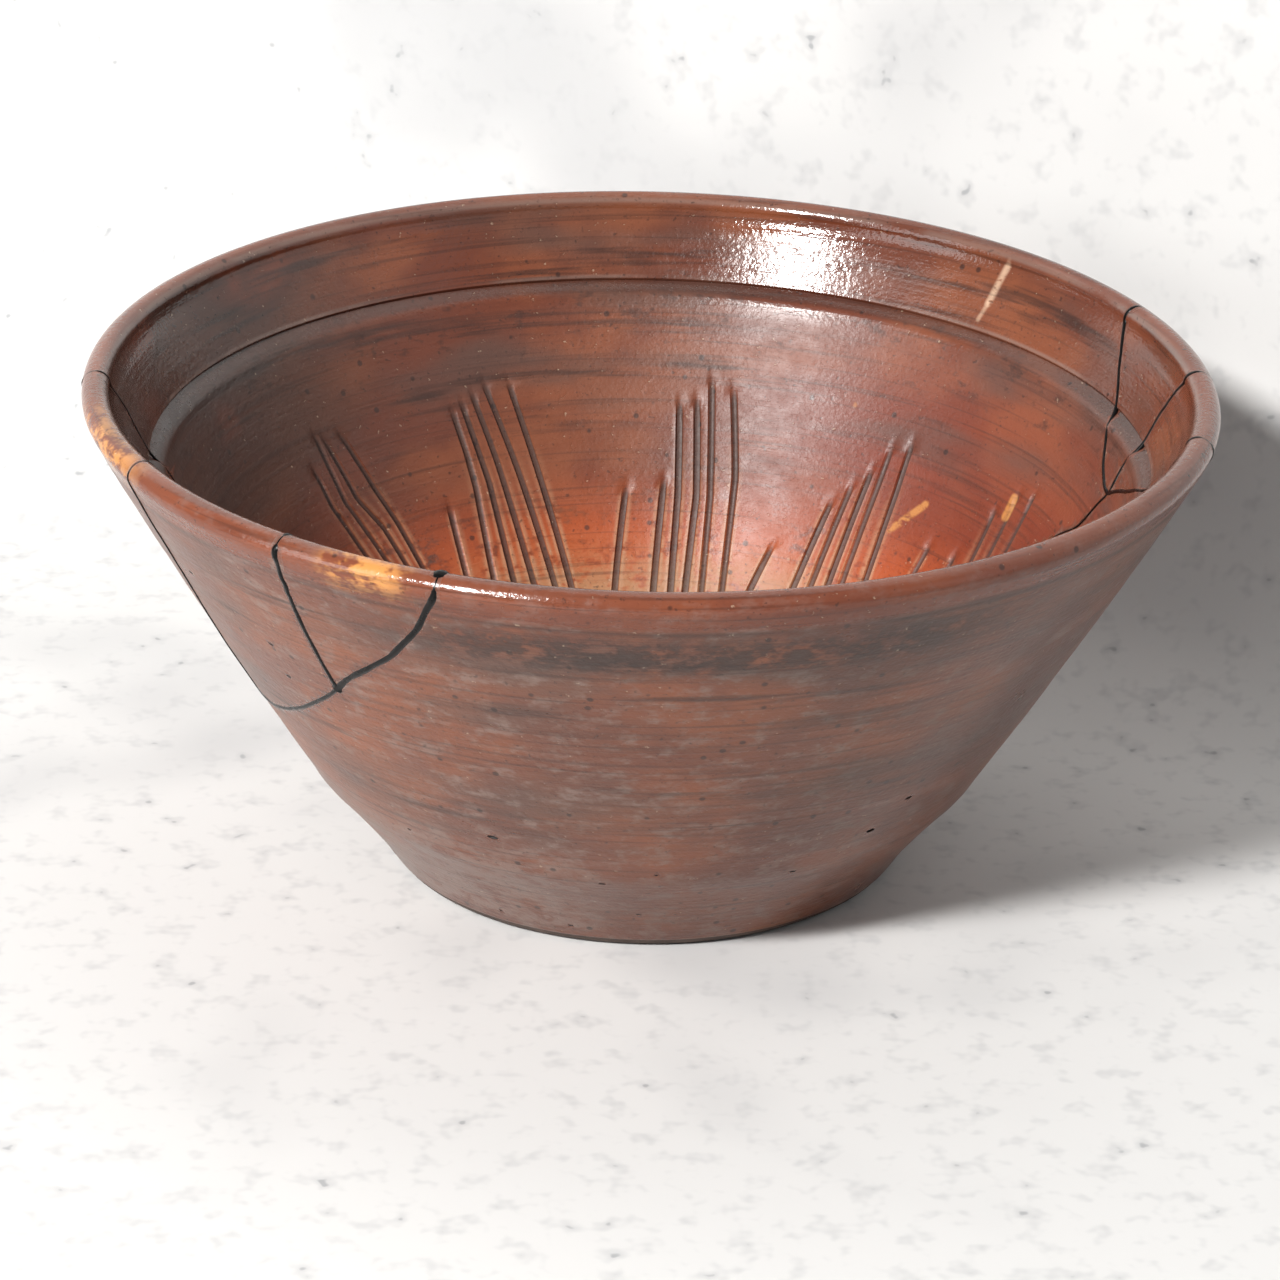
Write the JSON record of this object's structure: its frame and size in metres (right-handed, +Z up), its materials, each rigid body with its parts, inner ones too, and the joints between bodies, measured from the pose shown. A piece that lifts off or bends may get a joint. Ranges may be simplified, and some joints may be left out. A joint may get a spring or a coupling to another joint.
{
  "type": "cracked bowl",
  "caption": "Flared stoneware grinding bowl with a rounded lip and comb-scored inner wall, broken at the rim and rejoined with black lacquer seams.",
  "frame": {"origin": "middle of the foot, on the surface that the bowl stands on", "axes": "+Z up out of the mouth; +Y away from the picture's camera; +X to the right of the picture"},
  "size_m": [0.28, 0.28, 0.1301],
  "materials": {
    "glazed_stoneware": "thin iron-brown glaze, satin to glossy, with smoky dark patches, pits and a bare clay foot",
    "black_lacquer": "hand-laid black lacquer, glossy, slightly raised"
  },
  "bodies": {
    "root": {"bowl_body": "glazed_stoneware", "front_left_sherd": "glazed_stoneware", "left_sherd": "glazed_stoneware", "far_left_sherd": "glazed_stoneware", "right_back_sherd": "glazed_stoneware", "right_front_sherd": "glazed_stoneware", "left_lacquer_join": "black_lacquer", "right_lacquer_join": "black_lacquer"}
  },
  "joints": []
}
